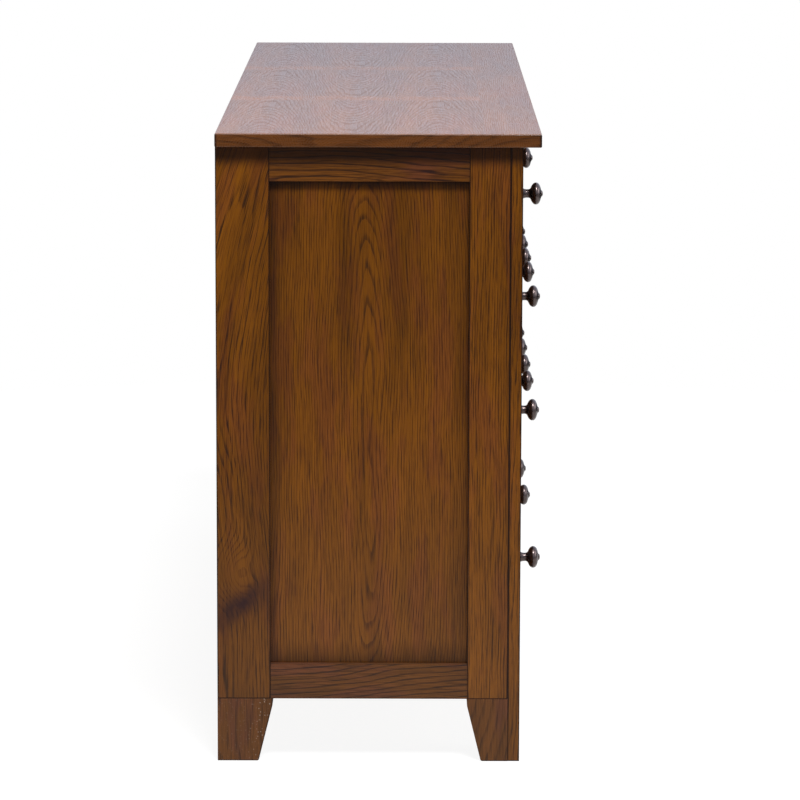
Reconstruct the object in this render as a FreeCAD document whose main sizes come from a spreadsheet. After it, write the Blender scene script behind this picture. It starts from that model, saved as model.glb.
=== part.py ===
import FreeCAD, Part
import Sketcher
import os

from FreeCAD import Rotation, Vector

# A long chest of drawers in oak, made as a parametric document in millimetres.
# Frame: +Z up, +X along the length, the drawers face -Y. The origin is the middle of the box round
# the whole piece, at floor level.

# Driving dimensions: alias, value and what it measures.
SIZES = (
    ("length", 1626, "top, end to end"),
    ("top_depth", 457, "top, front to back"),
    ("height", 902, "floor to the face of the top"),
    ("top_thick", 19, "top"),
    ("top_round", 2, "rounding of the top's edges"),
    ("border_depth", 78, "front border board of the top"),
    ("field_count", 3, "boards of the top's field"),
    ("end_overhang", 12.7, "top past the posts at each end"),
    ("front_overhang", 25.4, "top past the front frame"),
    ("post_thick", 25, "posts, across the end"),
    ("back_post_width", 76, "back post, front to back"),
    ("front_post_width", 58, "front post, front to back"),
    ("side_top_rail", 49, "height of the end's top rail"),
    ("side_bottom_rail", 51, "height of the end's bottom rail"),
    ("rail_recess", 1, "end rails behind the face of the posts"),
    ("panel_recess", 9, "end panel behind the face of the posts"),
    ("panel_thick", 8, "end panel"),
    ("groove_depth", 9, "groove that holds the end panel"),
    ("panel_play", 1.5, "room for the end panel to move in its groove"),
    ("fit_gap", 0.3, "clearance of a piece in its groove"),
    ("foot_height", 91, "floor to the bottom of the end"),
    ("foot_land", 10, "straight part of a foot under the post"),
    ("foot_taper", 20, "narrowing of a foot down to the floor"),
    ("foot_across", 76, "feet, along the length"),
    ("foot_proud", 2.5, "back foot past the edge of its post"),
    ("toe_round", 3, "rounding of a foot's inner bottom edge"),
    ("corner_block", 40, "corner block, across"),
    ("stile_thick", 17, "front frame"),
    ("stile_width", 102, "end stile of the front frame"),
    ("front_top_rail", 18, "height of the front's top rail"),
    ("divider_rail", 22, "height of the rails between the rows"),
    ("front_bottom_rail", 62, "height of the front's bottom rail"),
    ("centre_stile", 40, "width of the centre stile"),
    ("small_divider", 22, "width of the uprights in rows two and three"),
    ("row_one", 140, "opening height of the first row"),
    ("row_two", 140, "opening height of the second row"),
    ("row_three", 156, "opening height of the third row"),
    ("inner_opening", 296, "opening width of the inner drawers"),
    ("partition_thick", 18, "centre partition"),
    ("back_panel_thick", 5, "back panel"),
    ("back_rebate", 9, "rebate of the back post, across"),
    ("back_rail_thick", 18, "rails inside the back"),
    ("back_top_rail", 60, "height of the top rail inside the back"),
    ("web_rail_width", 60, "back rail of a web frame, front to back"),
    ("web_thick", 20, "web frames"),
    ("runner_under", 25, "runner under the drawer's side"),
    ("guide_width", 11, "drawer guides at the ends and the middle"),
    ("guide_height", 16, "drawer guides above the runner"),
    ("front_gap", 1.5, "gap round a drawer front"),
    ("front_thick", 19, "drawer front"),
    ("front_ease", 1.5, "eased edge of a drawer front"),
    ("run_gap", 0.3, "drawer box above its runner"),
    ("side_gap", 3, "drawer box beside its guides"),
    ("box_top_gap", 10, "opening height left free by the drawer box"),
    ("rear_gap", 10, "drawer box to the back rail"),
    ("board_thick", 12, "boards of a drawer box"),
    ("bottom_thick", 5, "drawer bottom"),
    ("bottom_inset", 9, "drawer bottom above the box's lower edge"),
    ("bottom_groove", 6, "groove for the drawer bottom"),
    ("tail_count", 3, "dovetails at a front corner of a drawer box"),
    ("pin_narrow", 6, "narrow side of a pin between two tails"),
    ("tail_flare", 2, "flare of a tail on each side"),
    ("wide_knobs", 488, "spacing of the knobs on the wide drawers"),
    ("inner_knobs", 164, "spacing of the knobs on the inner drawers"),
    ("knob_sides", 20, "flats round a knob"),
    ("rose_radius", 14.5, "knob, rose on the drawer"),
    ("rose_thick", 2, "knob, edge of the rose"),
    ("flare_radius", 8.6, "knob, between rose and neck"),
    ("flare_reach", 6, "knob, drawer front to the flare"),
    ("neck_radius", 6.2, "knob, neck"),
    ("neck_reach", 11, "knob, drawer front to the neck"),
    ("neck_length", 3.4, "knob, straight part of the neck"),
    ("shoulder_radius", 13.4, "knob, back of the head"),
    ("shoulder_reach", 19.4, "knob, drawer front to the back of the head"),
    ("rim_radius", 16, "knob, widest part of the head"),
    ("rim_reach", 24.2, "knob, drawer front to the widest part"),
    ("dome_radius", 12.6, "knob, front of the head"),
    ("dome_reach", 29, "knob, drawer front to the front of the head"),
    ("nub_radius", 4.6, "knob, foot of the nub"),
    ("nub_reach", 32.2, "knob, drawer front to the nub"),
    ("tip_radius", 2.2, "knob, flat end of the nub"),
    ("knob_reach", 34, "knob, drawer front to tip"),
)

# Places worked out from the driving dimensions: alias, formula and what it is.
PLACES = (
    ("case_half", "Sizes.length / 2 - Sizes.end_overhang", "middle to the outside of a post"),
    ("case_depth", "Sizes.top_depth - Sizes.front_overhang", "case, front to back"),
    ("back_y", "(case_depth + max(Sizes.knob_reach; Sizes.front_overhang)) / 2", "back of the case"),
    ("face_y", "back_y - case_depth", "face of the front frame"),
    ("top_front_y", "back_y - Sizes.top_depth", "front edge of the top"),
    ("frame_y", "face_y + Sizes.stile_thick", "back of the front frame"),
    ("case_top", "Sizes.height - Sizes.top_thick", "underside of the top"),
    ("post_length", "case_top - Sizes.foot_height", "posts, over the feet"),
    ("level_one", "case_top - Sizes.front_top_rail - Sizes.row_one", "runners of row one"),
    ("level_two", "level_one - Sizes.divider_rail - Sizes.row_two", "runners of row two"),
    ("level_three", "level_two - Sizes.divider_rail - Sizes.row_three", "runners of row three"),
    ("level_four", "Sizes.foot_height + Sizes.front_bottom_rail", "runners of row four"),
    ("row_four", "level_three - Sizes.divider_rail - level_four", "opening height of row four"),
    ("stile_inner", "case_half - Sizes.stile_width", "middle to the inside of an end stile"),
    ("post_inner", "case_half - Sizes.post_thick", "middle to the inside of a post"),
    ("centre_half", "Sizes.centre_stile / 2", "middle to the side of the centre stile"),
    ("partition_half", "Sizes.partition_thick / 2", "middle to the side of the partition"),
    ("wide_opening", "stile_inner - centre_half", "opening width of the wide drawers"),
    ("divider_x", "centre_half + Sizes.inner_opening", "middle to the upright divider"),
    ("outer_x", "divider_x + Sizes.small_divider", "middle to the outer drawer"),
    ("outer_opening", "stile_inner - outer_x", "opening width of the outer drawers"),
    ("side_span", "case_depth - Sizes.stile_thick - Sizes.front_post_width"
                  " - Sizes.back_post_width", "between the posts of an end"),
    ("side_y", "frame_y + Sizes.front_post_width", "back edge of the front post"),
    ("back_post_y", "back_y - Sizes.back_post_width", "front edge of the back post"),
    ("panel_y", "back_y - Sizes.back_panel_thick", "inside of the back panel"),
    ("back_rail_y", "panel_y - Sizes.back_rail_thick", "inside of the back rails"),
    ("web_rail_y", "panel_y - Sizes.web_rail_width", "front edge of the back web rails"),
    ("box_depth", "back_rail_y - Sizes.rear_gap - face_y - Sizes.front_thick", "drawer box"),
)

doc = FreeCAD.newDocument("chest_of_drawers")
nodes = []


def fill_sheet(name, rows, prefix):
    """One row for each value: what it is, the value or formula, and its alias."""
    sheet = doc.addObject("Spreadsheet::Sheet", name)
    for number, (alias, value, note) in enumerate(rows, start=1):
        sheet.set(f"A{number}", note)
        sheet.set(f"B{number}", f"{prefix}{value}")
        sheet.setAlias(f"B{number}", alias)
    doc.recompute()
    return sheet


sizes = fill_sheet("Sizes", SIZES, "")
places = fill_sheet("Places", PLACES, "=")


def value(expression):
    """The number that an expression of the two sheets stands for."""
    return float(sizes.evalExpression(expression))


def node(piece, label):
    """Keeps a finished piece under the name of its file."""
    piece.Label = label
    nodes.append(piece)
    return piece


def move(piece, x, y, z):
    """Ties the place of a piece's own origin to the sheets."""
    for axis, expression in zip("xyz", (x, y, z)):
        piece.setExpression(f"Placement.Base.{axis}", expression)
    return piece


def board(name, size, place):
    """A straight board with square edges."""
    piece = doc.addObject("Part::Box", name)
    for side, expression in zip(("Length", "Width", "Height"), size):
        piece.setExpression(side, expression)
    return move(piece, *place)


def group(name, pieces):
    """Several pieces that keep their own solids."""
    compound = doc.addObject("Part::Compound", name)
    compound.Links = pieces
    return compound


def cut(name, piece, tool):
    """A piece with the room for another one taken out of it."""
    result = doc.addObject("Part::Cut", name)
    result.Base = piece
    result.Tool = tool
    return result


def mirrored(name, piece, x="0"):
    """The same piece on the other side of the plane at x."""
    other = doc.addObject("Part::Mirroring", name)
    other.Source = piece
    other.Normal = Vector(1, 0, 0)
    other.setExpression("Base.x", x)
    return other


def copy_at(name, piece, x, y, z, turn=None):
    """A linked copy of a master piece at its own place."""
    link = doc.addObject("App::Link", name)
    link.setLink(piece)
    if turn:
        link.Placement = FreeCAD.Placement(Vector(0, 0, 0), turn)
    return move(link, x, y, z)


def sketch_on(body, role, name):
    """An empty sketch on one of the body's own origin planes."""
    sketch = body.newObject("Sketcher::SketchObject", name)
    plane = next(item for item in body.Origin.OriginFeatures if item.Role == role)
    sketch.AttachmentSupport = [(plane, "")]
    sketch.MapMode = "FlatFace"
    return sketch


def outline(sketch, points):
    """A closed run of lines through points, each coordinate an expression from the origin."""
    first = sketch.GeometryCount
    corners = [Vector(value(x), value(y), 0) for x, y in points]
    count = len(points)
    for number, corner in enumerate(corners):
        sketch.addGeometry(Part.LineSegment(corner, corners[(number + 1) % count]), False)
    for number, (x, y) in enumerate(points):
        line = first + number
        following = first + (number + 1) % count
        sketch.addConstraint(Sketcher.Constraint("Coincident", line, 2, following, 1))
        for kind, expression, axis in (("DistanceX", x, -2), ("DistanceY", y, -1)):
            if expression == "0":
                sketch.addConstraint(Sketcher.Constraint("PointOnObject", line, 1, axis))
                continue
            index = sketch.addConstraint(
                Sketcher.Constraint(kind, -1, 1, line, 1, value(expression)))
            sketch.setExpression(f"Constraints[{index}]", expression)


def pad(body, sketch, length, reverse=False):
    """Thickness for a sketch: a Pad along its normal, or against it."""
    feature = body.newObject("PartDesign::Pad", f"{body.Name}_pad")
    feature.Profile = sketch
    feature.setExpression("Length", length)
    feature.Reversed = reverse
    return feature


def pocket(body, sketch, length, reverse=False):
    """A cut of a set depth from a sketch."""
    feature = body.newObject("PartDesign::Pocket", f"{body.Name}_pocket")
    feature.Profile = sketch
    feature.setExpression("Length", length)
    feature.Reversed = reverse
    return feature


def dress(body, kind, size_name, expression, wanted):
    """A Fillet or Chamfer on the edges of the body's last feature that the test picks."""
    doc.recompute()
    base = body.Tip
    edges = [f"Edge{number}" for number, edge in enumerate(base.Shape.Edges, start=1)
             if wanted(edge)]
    feature = body.newObject(f"PartDesign::{kind}", f"{body.Name}_{kind.lower()}")
    feature.Base = (base, edges)
    feature.setExpression(size_name, expression)
    return feature


def lies_on(edge, axis, place):
    """Whether an edge lies in the plane where the axis has this value."""
    low = getattr(edge.BoundBox, f"{axis}Min")
    high = getattr(edge.BoundBox, f"{axis}Max")
    return abs(low - place) < 1e-4 and abs(high - place) < 1e-4


# Top
def make_top():
    """A slab with rounded edges, parted into the field's boards and the front border."""
    slab = doc.addObject("PartDesign::Body", "top_slab")
    plan = sketch_on(slab, "XY_Plane", "top_plan")
    outline(plan, [("0", "0"), ("Sizes.length", "0"), ("Sizes.length", "Sizes.top_depth"),
                   ("0", "Sizes.top_depth")])
    pad(slab, plan, "Sizes.top_thick")
    thick = value("Sizes.top_thick")
    dress(slab, "Fillet", "Radius", "Sizes.top_round",
          lambda edge: lies_on(edge, "Z", 0) or lies_on(edge, "Z", thick))
    move(slab, "-Sizes.length / 2", "Places.top_front_y", "Places.case_top")

    def parted(name, length, depth, x, y):
        room = board(f"{name}_room", (length, depth, "Sizes.top_thick"), (x, y, "Places.case_top"))
        piece = doc.addObject("Part::Common", name)
        piece.Base = slab
        piece.Tool = room
        return piece

    border = parted("border", "Sizes.length", "Sizes.border_depth",
                    "-Sizes.length / 2", "Places.top_front_y")
    count = int(value("Sizes.field_count"))
    field = [parted(f"field_{number + 1}", "Sizes.length / Sizes.field_count",
                    "Sizes.top_depth - Sizes.border_depth",
                    f"Sizes.length * ({number} / Sizes.field_count - 1 / 2)",
                    "Places.top_front_y + Sizes.border_depth")
             for number in range(count)]
    node(border, "top_front_border")
    node(group("field", field), "top_field")


# Ends
def make_posts():
    """Posts with the panel's groove, and the back panel's rebate in the back post."""
    groove_end = "Sizes.panel_recess + Sizes.panel_thick + Sizes.fit_gap"
    back = doc.addObject("PartDesign::Body", "back_post")
    section = sketch_on(back, "XY_Plane", "back_post_section")
    outline(section, [
        ("0", "0"),
        ("Sizes.panel_recess", "0"),
        ("Sizes.panel_recess", "Sizes.groove_depth"),
        (groove_end, "Sizes.groove_depth"),
        (groove_end, "0"),
        ("Sizes.post_thick", "0"),
        ("Sizes.post_thick", "Sizes.back_post_width - Sizes.back_panel_thick"),
        ("Sizes.post_thick - Sizes.back_rebate", "Sizes.back_post_width - Sizes.back_panel_thick"),
        ("Sizes.post_thick - Sizes.back_rebate", "Sizes.back_post_width"),
        ("0", "Sizes.back_post_width"),
    ])
    pad(back, section, "Places.post_length")
    move(back, "-Places.case_half", "Places.back_post_y", "Sizes.foot_height")

    front = doc.addObject("PartDesign::Body", "front_post")
    section = sketch_on(front, "XY_Plane", "front_post_section")
    groove_floor = "Sizes.front_post_width - Sizes.groove_depth"
    outline(section, [
        ("0", "0"),
        ("Sizes.post_thick", "0"),
        ("Sizes.post_thick", "Sizes.front_post_width"),
        (groove_end, "Sizes.front_post_width"),
        (groove_end, groove_floor),
        ("Sizes.panel_recess", groove_floor),
        ("Sizes.panel_recess", "Sizes.front_post_width"),
        ("0", "Sizes.front_post_width"),
    ])
    pad(front, section, "Places.post_length")
    move(front, "-Places.case_half", "Places.frame_y", "Sizes.foot_height")

    for piece, label in ((back, "back_post"), (front, "front_post")):
        node(piece, f"{label}_left")
        node(mirrored(f"{label}_other", piece), f"{label}_right")


def make_side_rail(name, height, place_z, grooved_top):
    """An end rail between the posts, with stub tenons and the panel's groove in one edge."""
    x = "-Places.case_half + Sizes.rail_recess"
    tongue_x = "-Places.case_half + Sizes.panel_recess"
    tenon = "(Sizes.groove_depth - Sizes.fit_gap)"
    groove_z = f"{place_z} + {height} - Sizes.groove_depth" if grooved_top else place_z
    tongue_z = place_z if grooved_top else f"{place_z} + Sizes.groove_depth"
    core = board(f"{name}_core", ("Sizes.post_thick - Sizes.rail_recess", "Places.side_span", height),
                 (x, "Places.side_y", place_z))
    groove = board(f"{name}_groove",
                   ("Sizes.panel_thick + Sizes.fit_gap", "Places.side_span", "Sizes.groove_depth"),
                   (tongue_x, "Places.side_y", groove_z))
    tongue = board(f"{name}_tongue",
                   ("Sizes.panel_thick", f"Places.side_span + 2 * {tenon}",
                    f"{height} - Sizes.groove_depth"),
                   (tongue_x, f"Places.side_y - {tenon}", tongue_z))
    rail = doc.addObject("Part::Fuse", name)
    rail.Base = cut(f"{name}_grooved", core, groove)
    rail.Tool = tongue
    return rail


def make_ends():
    """Top and bottom rail and the floating panel of each end."""
    top_z = "Places.case_top - Sizes.side_top_rail"
    top_rail = make_side_rail("side_top_rail", "Sizes.side_top_rail", top_z, False)
    bottom_rail = make_side_rail("side_bottom_rail", "Sizes.side_bottom_rail",
                                 "Sizes.foot_height", True)
    node(group("side_rail_set", [top_rail, bottom_rail, mirrored("side_top_rail_other", top_rail),
                                 mirrored("side_bottom_rail_other", bottom_rail)]), "side_rails")
    reach = "(Sizes.groove_depth - Sizes.panel_play)"
    opening = "Places.post_length - Sizes.side_top_rail - Sizes.side_bottom_rail"
    panel = board("side_panel",
                  ("Sizes.panel_thick", f"Places.side_span + 2 * {reach}", f"{opening} + 2 * {reach}"),
                  ("-Places.case_half + Sizes.panel_recess", f"Places.side_y - {reach}",
                   f"Sizes.foot_height + Sizes.side_bottom_rail - {reach}"))
    node(panel, "side_panel_left")
    node(mirrored("side_panel_other", panel), "side_panel_right")


# Feet
def make_foot(name, width, front):
    """A block under a post, straight at the top, then tapered on its two inner faces."""
    straight = "Sizes.foot_height - Sizes.foot_land"
    foot = doc.addObject("PartDesign::Body", name)
    side = sketch_on(foot, "YZ_Plane", f"{name}_side")
    if front:
        outline(side, [("0", "0"), (f"{width} - Sizes.foot_taper", "0"), (width, straight),
                       (width, "Sizes.foot_height"), ("0", "Sizes.foot_height")])
    else:
        outline(side, [("Sizes.foot_taper", "0"), (width, "0"), (width, "Sizes.foot_height"),
                       ("0", "Sizes.foot_height"), ("0", straight)])
    pad(foot, side, "Sizes.foot_across")
    face = sketch_on(foot, "XZ_Plane", f"{name}_face")
    outline(face, [("Sizes.foot_across - Sizes.foot_taper", "0"), ("Sizes.foot_across", "0"),
                   ("Sizes.foot_across", straight)])
    pocket(foot, face, width)
    toe_y = value(f"{width} - Sizes.foot_taper") if front else value("Sizes.foot_taper")
    dress(foot, "Fillet", "Radius", "Sizes.toe_round",
          lambda edge: lies_on(edge, "Z", 0) and lies_on(edge, "Y", toe_y))
    return foot


def make_feet():
    """Four feet, and the corner blocks that tie them to the case."""
    front = make_foot("front_foot", "Sizes.front_post_width", True)
    move(front, "-Places.case_half", "Places.frame_y", "0")
    back_width = "(Sizes.back_post_width + Sizes.foot_proud)"
    back = make_foot("back_foot", back_width, False)
    move(back, "-Places.case_half", f"Places.back_y - {back_width}", "0")
    node(group("foot_set", [front, back, mirrored("front_foot_other", front),
                            mirrored("back_foot_other", back)]), "feet")

    block = ("Sizes.corner_block", "Sizes.corner_block", "Sizes.front_bottom_rail - Sizes.web_thick")
    front_block = board("front_block", block,
                        ("-Places.post_inner", "Places.frame_y", "Sizes.foot_height"))
    back_block = board("back_block", block,
                       ("-Places.post_inner", "Places.back_rail_y - Sizes.corner_block",
                        "Sizes.foot_height"))
    node(group("corner_block_set", [front_block, back_block,
                                    mirrored("front_block_other", front_block),
                                    mirrored("back_block_other", back_block)]), "corner_blocks")


# Front frame
def make_front_frame():
    """End stiles down to the floor, rails between the rows, and the uprights."""
    stile = doc.addObject("PartDesign::Body", "front_stile")
    face = sketch_on(stile, "XZ_Plane", "front_stile_face")
    outline(face, [("0", "0"), ("Sizes.stile_width - Sizes.foot_taper", "0"),
                   ("Sizes.stile_width", "Sizes.foot_height - Sizes.foot_land"),
                   ("Sizes.stile_width", "Places.case_top"), ("0", "Places.case_top")])
    pad(stile, face, "Sizes.stile_thick", reverse=True)
    move(stile, "-Places.case_half", "Places.face_y", "0")
    node(stile, "front_stile_left")
    node(mirrored("front_stile_other", stile), "front_stile_right")

    across = "2 * Places.stile_inner"
    node(board("top_rail", (across, "Sizes.stile_thick", "Sizes.front_top_rail"),
               ("-Places.stile_inner", "Places.face_y", "Places.case_top - Sizes.front_top_rail")),
         "front_top_rail")
    node(board("bottom_rail", (across, "Sizes.stile_thick", "Sizes.front_bottom_rail"),
               ("-Places.stile_inner", "Places.face_y", "Sizes.foot_height")), "front_bottom_rail")
    node(board("middle_stile", ("Sizes.centre_stile", "Sizes.stile_thick",
                                "Places.case_top - Sizes.front_top_rail - Places.level_four"),
               ("-Places.centre_half", "Places.face_y", "Places.level_four")), "centre_stile")

    rails = []
    for level in ("one", "two", "three"):
        rail = board(f"rail_under_{level}",
                     ("Places.wide_opening", "Sizes.stile_thick", "Sizes.divider_rail"),
                     ("-Places.stile_inner", "Places.face_y",
                      f"Places.level_{level} - Sizes.divider_rail"))
        rails += [rail, mirrored(f"rail_under_{level}_other", rail)]
    node(group("divider_rail_set", rails), "front_divider_rails")

    uprights = []
    for row in ("two", "three"):
        upright = board(f"upright_{row}",
                        ("Sizes.small_divider", "Sizes.stile_thick", f"Sizes.row_{row}"),
                        ("-Places.outer_x", "Places.face_y", f"Places.level_{row}"))
        uprights += [upright, mirrored(f"upright_{row}_other", upright)]
    node(group("upright_set", uprights), "small_dividers")


# Back
def make_back():
    """Panel in the rebates of the back posts, the rails it is fixed to, and the partition."""
    half = "(Places.post_inner + Sizes.back_rebate - Sizes.fit_gap)"
    node(board("back_board", (f"2 * {half}", "Sizes.back_panel_thick", "Places.post_length"),
               (f"-{half}", "Places.panel_y", "Sizes.foot_height")), "back_panel")
    across = "2 * Places.post_inner"
    top = board("back_top", (across, "Sizes.back_rail_thick", "Sizes.back_top_rail"),
                ("-Places.post_inner", "Places.back_rail_y",
                 "Places.case_top - Sizes.back_top_rail"))
    bottom = board("back_bottom", (across, "Sizes.back_rail_thick",
                                   "Sizes.front_bottom_rail - Sizes.web_thick"),
                   ("-Places.post_inner", "Places.back_rail_y", "Sizes.foot_height"))
    node(group("back_rail_set", [top, bottom]), "back_rails")
    node(board("partition", ("Sizes.partition_thick", "Places.back_rail_y - Places.frame_y",
                             "Places.post_length"),
               ("-Places.partition_half", "Places.frame_y", "Sizes.foot_height")),
         "centre_partition")


# Web frames, guides and cleats
MIDDLE_RUN = ("-Places.centre_half - Sizes.runner_under", "-Places.partition_half")
DIVIDER_RUN = ("-Places.outer_x - Sizes.runner_under", "-Places.divider_x + Sizes.runner_under")
END_RUN = ("-Places.stile_inner - Sizes.guide_width", "-Places.stile_inner + Sizes.runner_under")
MIDDLE_GUIDE = ("-Places.centre_half", "-Places.partition_half")
DIVIDER_GUIDE = ("-Places.outer_x", "-Places.divider_x")
END_GUIDE = ("-Places.stile_inner - Sizes.guide_width", "-Places.stile_inner")


def strip(name, run, height, place_z, end_y):
    """A strip from the back of the front frame to end_y, and its twin in the other half."""
    low, high = run
    piece = board(name, (f"{high} - ({low})", f"{end_y} - Places.frame_y", height),
                  (low, "Places.frame_y", place_z))
    return [piece, mirrored(f"{name}_other", piece)]


def make_webs():
    """Under each row a back web rail and the runners, on them the guides, and cleats on top."""
    webs = []
    guides = []
    for row in ("one", "two", "three", "four"):
        level = f"Places.level_{row}"
        under = f"{level} - Sizes.web_thick"
        rail = board(f"web_rail_{row}",
                     ("Places.post_inner - Places.partition_half", "Sizes.web_rail_width",
                      "Sizes.web_thick"),
                     ("-Places.post_inner", "Places.web_rail_y", under))
        webs += [rail, mirrored(f"web_rail_{row}_other", rail)]
        split = row in ("two", "three")
        runs = [("middle", MIDDLE_RUN, MIDDLE_GUIDE), ("end", END_RUN, END_GUIDE)]
        if split:
            runs.append(("divider", DIVIDER_RUN, DIVIDER_GUIDE))
        for place, run, guide in runs:
            webs += strip(f"runner_{place}_{row}", run, "Sizes.web_thick", under,
                          "Places.web_rail_y")
            guides += strip(f"guide_{place}_{row}", guide, "Sizes.guide_height", level,
                            "Places.web_rail_y")
    node(group("web_set", webs), "web_frames")
    node(group("guide_set", guides), "drawer_guides")

    cleats = []
    for place, run in (("middle", MIDDLE_RUN), ("end", END_RUN)):
        cleats += strip(f"cleat_{place}", run, "Sizes.front_top_rail",
                        "Places.case_top - Sizes.front_top_rail", "Places.back_rail_y")
    node(group("cleat_set", cleats), "top_cleats")


# Knob
def make_knob():
    """A knob on its own axis: rose, flare, neck, full head and nub, its round form in flats."""
    flat = "Sizes.rim_radius * tan(180 / Sizes.knob_sides)"
    blade = doc.addObject("PartDesign::Body", "knob_blade")
    profile = sketch_on(blade, "XZ_Plane", "knob_profile")
    outline(profile, [
        ("0", "0"),
        ("Sizes.rose_radius", "0"),
        ("Sizes.rose_radius", "Sizes.rose_thick"),
        ("Sizes.flare_radius", "Sizes.flare_reach"),
        ("Sizes.neck_radius", "Sizes.neck_reach"),
        ("Sizes.neck_radius", "Sizes.neck_reach + Sizes.neck_length"),
        ("Sizes.shoulder_radius", "Sizes.shoulder_reach"),
        ("Sizes.rim_radius", "Sizes.rim_reach"),
        ("Sizes.dome_radius", "Sizes.dome_reach"),
        ("Sizes.nub_radius", "Sizes.nub_reach"),
        ("Sizes.tip_radius", "Sizes.knob_reach"),
        ("0", "Sizes.knob_reach"),
    ])
    pad(blade, profile, f"2 * {flat}").Midplane = True

    wedge = doc.addObject("PartDesign::Body", "knob_wedge")
    plan = sketch_on(wedge, "XY_Plane", "knob_plan")
    outline(plan, [("0", "0"), ("Sizes.rim_radius", f"-{flat}"), ("Sizes.rim_radius", flat)])
    pad(wedge, plan, "Sizes.knob_reach")

    sector = doc.addObject("Part::Common", "knob_sector")
    sector.Base = blade
    sector.Tool = wedge
    sides = int(value("Sizes.knob_sides"))
    knob = doc.addObject("Part::MultiFuse", "knob")
    knob.Shapes = [copy_at(f"knob_side_{number + 1}", sector, "0", "0", "0",
                           Rotation(Vector(0, 0, 1), 360 * number / sides))
                   for number in range(sides)]
    knob.Refine = True
    return knob


# Drawers
def make_box_side(name, height):
    """Left side of a drawer box, with the bottom's groove and the sockets between its tails."""
    side = doc.addObject("PartDesign::Body", name)
    section = sketch_on(side, "XZ_Plane", f"{name}_section")
    groove_top = "Sizes.bottom_inset + Sizes.bottom_thick + Sizes.fit_gap"
    groove_x = "Sizes.board_thick - Sizes.bottom_groove"
    outline(section, [
        ("0", "0"),
        ("Sizes.board_thick", "0"),
        ("Sizes.board_thick", "Sizes.bottom_inset"),
        (groove_x, "Sizes.bottom_inset"),
        (groove_x, groove_top),
        ("Sizes.board_thick", groove_top),
        ("Sizes.board_thick", height),
        ("0", height),
    ])
    pad(side, section, "Places.box_depth", reverse=True)
    sockets = sketch_on(side, "YZ_Plane", f"{name}_sockets")
    deep = "Sizes.board_thick"
    narrow = "Sizes.pin_narrow / 2"
    broad = f"({narrow} + Sizes.tail_flare)"
    outline(sockets, [("0", "0"), (deep, "0"), (deep, broad), ("0", narrow)])
    for number in range(1, int(value("Sizes.tail_count"))):
        middle = f"{height} * {number} / Sizes.tail_count"
        outline(sockets, [("0", f"{middle} - {narrow}"), (deep, f"{middle} - {broad}"),
                          (deep, f"{middle} + {broad}"), ("0", f"{middle} + {narrow}")])
    outline(sockets, [("0", f"{height} - {narrow}"), (deep, f"{height} - {broad}"),
                      (deep, height), ("0", height)])
    pocket(side, sockets, "Sizes.board_thick", reverse=True)
    return move(side, "Sizes.side_gap", "Sizes.front_thick", "Sizes.run_gap")


def make_box(name, opening, row_height):
    """Drawer box behind the front: sides, box front with its pins, back and bottom."""
    height = f"({row_height} - Sizes.box_top_gap)"
    left = make_box_side(f"{name}_side", height)
    right = mirrored(f"{name}_side_other", left, f"{opening} / 2")
    inside = f"({opening} - 2 * Sizes.side_gap - 2 * Sizes.board_thick)"
    inside_x = "Sizes.side_gap + Sizes.board_thick"
    reach = "(Sizes.bottom_groove - Sizes.fit_gap)"
    bottom_z = "Sizes.run_gap + Sizes.bottom_inset"
    above = "(Sizes.bottom_inset + Sizes.bottom_thick)"
    bottom = board(f"{name}_bottom",
                   (f"{inside} + 2 * {reach}",
                    "Places.box_depth - Sizes.board_thick + Sizes.bottom_groove",
                    "Sizes.bottom_thick"),
                   (f"{inside_x} - {reach}",
                    "Sizes.front_thick + Sizes.board_thick - Sizes.bottom_groove", bottom_z))
    back = board(f"{name}_back", (inside, "Sizes.board_thick", f"{height} - {above}"),
                 (inside_x, "Sizes.front_thick + Places.box_depth - Sizes.board_thick",
                  f"Sizes.run_gap + {above}"))
    blank = board(f"{name}_blank", (f"{opening} - 2 * Sizes.side_gap", "Sizes.board_thick", height),
                  ("Sizes.side_gap", "Sizes.front_thick", "Sizes.run_gap"))
    front = cut(f"{name}_front", blank, group(f"{name}_rooms", [left, right, bottom]))
    return group(f"{name}_box", [left, right, front, back, bottom])


def make_drawer(name, opening, row_height, spacing, knob):
    """One size of drawer, with its opening's lower left corner in the front face as origin."""
    front = doc.addObject("PartDesign::Body", f"{name}_board")
    face = sketch_on(front, "XZ_Plane", f"{name}_face")
    low = "Sizes.front_gap"
    right = f"{opening} - Sizes.front_gap"
    high = f"{row_height} - Sizes.front_gap"
    outline(face, [(low, low), (right, low), (right, high), (low, high)])
    pad(front, face, "Sizes.front_thick", reverse=True)
    dress(front, "Chamfer", "Size", "Sizes.front_ease", lambda edge: lies_on(edge, "Y", 0))

    forward = Rotation(Vector(1, 0, 0), 90)
    middle = f"{opening} / 2"
    spots = [f"{middle} - {spacing} / 2", f"{middle} + {spacing} / 2"] if spacing else [middle]
    knobs = [copy_at(f"{name}_knob_{number}", knob, spot, "0", f"{row_height} / 2", forward)
             for number, spot in enumerate(spots, start=1)]
    return {"front": front, "box": make_box(name, opening, row_height),
            "knobs" if spacing else "knob": group(f"{name}_knobs", knobs)}


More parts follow.
